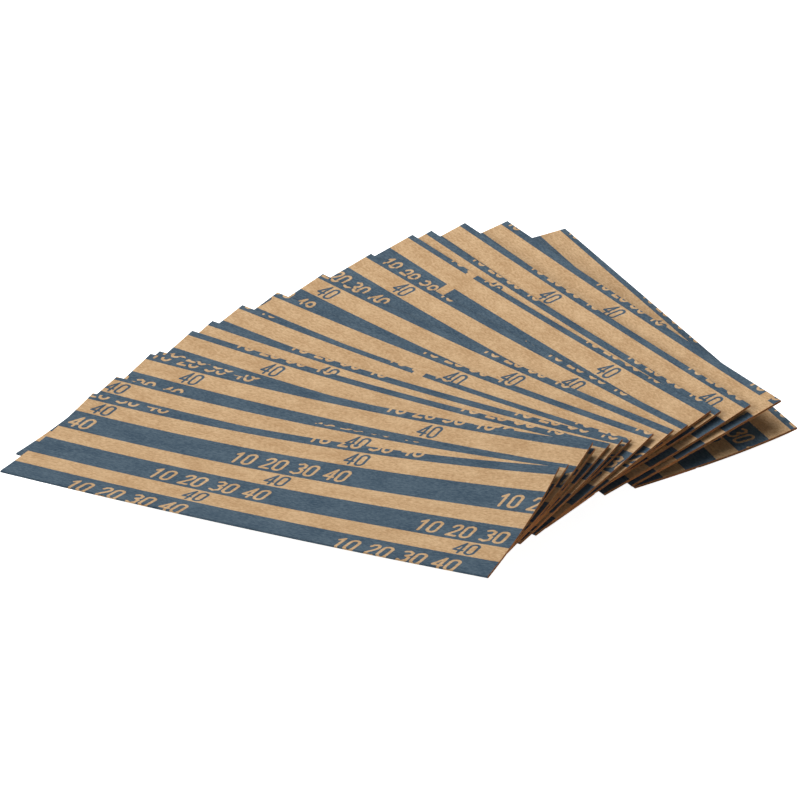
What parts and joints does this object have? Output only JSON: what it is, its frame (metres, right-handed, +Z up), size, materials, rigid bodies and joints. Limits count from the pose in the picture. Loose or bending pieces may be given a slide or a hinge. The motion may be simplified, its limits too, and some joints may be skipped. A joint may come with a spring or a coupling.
{
  "type": "flat coin wrappers",
  "caption": "Flat kraft paper coin wrappers, blue striped, with a glued lap seam, lying on each other in a spread fan that closes to a squared pile.",
  "frame": {"origin": "middle of the underside of the lowest wrapper, on the table", "axes": "+Z up from the table, +X to the right and +Y away from the viewer of the picture"},
  "size_m": [0.1494, 0.1432, 0.0109],
  "materials": {
    "kraft_paper": "matte",
    "seam_glue": "matte"
  },
  "bodies": {
    "wrapper_01": {"wrapper_01": "kraft_paper", "seam_glue_01": "seam_glue"},
    "wrapper_02": {"wrapper_02": "kraft_paper", "seam_glue_02": "seam_glue"},
    "wrapper_03": {"wrapper_03": "kraft_paper", "seam_glue_03": "seam_glue"},
    "wrapper_04": {"wrapper_04": "kraft_paper", "seam_glue_04": "seam_glue"},
    "wrapper_05": {"wrapper_05": "kraft_paper", "seam_glue_05": "seam_glue"},
    "wrapper_06": {"wrapper_06": "kraft_paper", "seam_glue_06": "seam_glue"},
    "wrapper_07": {"wrapper_07": "kraft_paper", "seam_glue_07": "seam_glue"},
    "wrapper_08": {"wrapper_08": "kraft_paper", "seam_glue_08": "seam_glue"},
    "wrapper_09": {"wrapper_09": "kraft_paper", "seam_glue_09": "seam_glue"},
    "wrapper_10": {"wrapper_10": "kraft_paper", "seam_glue_10": "seam_glue"},
    "wrapper_11": {"wrapper_11": "kraft_paper", "seam_glue_11": "seam_glue"},
    "wrapper_12": {"wrapper_12": "kraft_paper", "seam_glue_12": "seam_glue"},
    "wrapper_13": {"wrapper_13": "kraft_paper", "seam_glue_13": "seam_glue"},
    "wrapper_14": {"wrapper_14": "kraft_paper", "seam_glue_14": "seam_glue"},
    "wrapper_15": {"wrapper_15": "kraft_paper", "seam_glue_15": "seam_glue"}
  },
  "joints": [
    {"name": "fan_turn_01", "type": "hinge", "parent": "wrapper_02", "child": "wrapper_01", "pos_m": [0.04078, -0.10485, 0.00951], "axis": [0.0053, 0.009, -0.9999], "range_deg": [0, 4]},
    {"name": "fan_turn_02", "type": "hinge", "parent": "wrapper_03", "child": "wrapper_02", "pos_m": [0.04078, -0.10485, 0.00872], "axis": [0.012, 0.0192, -0.9997], "range_deg": [0, 1.5]},
    {"name": "fan_turn_03", "type": "hinge", "parent": "wrapper_04", "child": "wrapper_03", "pos_m": [0.04078, -0.10485, 0.00787], "axis": [0.0193, 0.0291, -0.9994], "range_deg": [0, 1.5]},
    {"name": "fan_turn_04", "type": "hinge", "parent": "wrapper_05", "child": "wrapper_04", "pos_m": [0.04078, -0.10485, 0.00717], "axis": [0.0283, 0.0376, -0.9989], "range_deg": [0, 3.5]},
    {"name": "fan_turn_05", "type": "hinge", "parent": "wrapper_06", "child": "wrapper_05", "pos_m": [0.04078, -0.10485, 0.00639], "axis": [0.0369, 0.0464, -0.9982], "range_deg": [0, 1.5]},
    {"name": "fan_turn_06", "type": "hinge", "parent": "wrapper_07", "child": "wrapper_06", "pos_m": [0.04078, -0.10485, 0.00583], "axis": [0.0483, 0.0527, -0.9974], "range_deg": [0, 4]},
    {"name": "fan_turn_07", "type": "hinge", "parent": "wrapper_08", "child": "wrapper_07", "pos_m": [0.04078, -0.10485, 0.00522], "axis": [0.0592, 0.0592, -0.9965], "range_deg": [0, 2.5]},
    {"name": "fan_turn_08", "type": "hinge", "parent": "wrapper_09", "child": "wrapper_08", "pos_m": [0.04078, -0.10485, 0.00485], "axis": [0.0729, 0.0622, -0.9954], "range_deg": [0, 4.5]},
    {"name": "fan_turn_09", "type": "hinge", "parent": "wrapper_10", "child": "wrapper_09", "pos_m": [0.04078, -0.10485, 0.00468], "axis": [0.0885, 0.0619, -0.9942], "range_deg": [0, 5.5]},
    {"name": "fan_turn_10", "type": "hinge", "parent": "wrapper_11", "child": "wrapper_10", "pos_m": [0.04078, -0.10485, 0.00429], "axis": [0.1019, 0.0637, -0.9928], "range_deg": [0, 3]},
    {"name": "fan_turn_11", "type": "hinge", "parent": "wrapper_12", "child": "wrapper_11", "pos_m": [0.04078, -0.10485, 0.00367], "axis": [0.114, 0.0671, -0.9912], "range_deg": [0, 1.5]},
    {"name": "fan_turn_12", "type": "hinge", "parent": "wrapper_13", "child": "wrapper_12", "pos_m": [0.04078, -0.10485, 0.00298], "axis": [0.1256, 0.0711, -0.9895], "range_deg": [0, 1]},
    {"name": "fan_turn_13", "type": "hinge", "parent": "wrapper_14", "child": "wrapper_13", "pos_m": [0.04078, -0.10485, 0.00244], "axis": [0.1388, 0.0722, -0.9877], "range_deg": [0, 2]},
    {"name": "fan_turn_14", "type": "hinge", "parent": "wrapper_15", "child": "wrapper_14", "pos_m": [0.04078, -0.10485, 0], "axis": [0, 0, -1], "range_deg": [0, 6.5]}
  ]
}
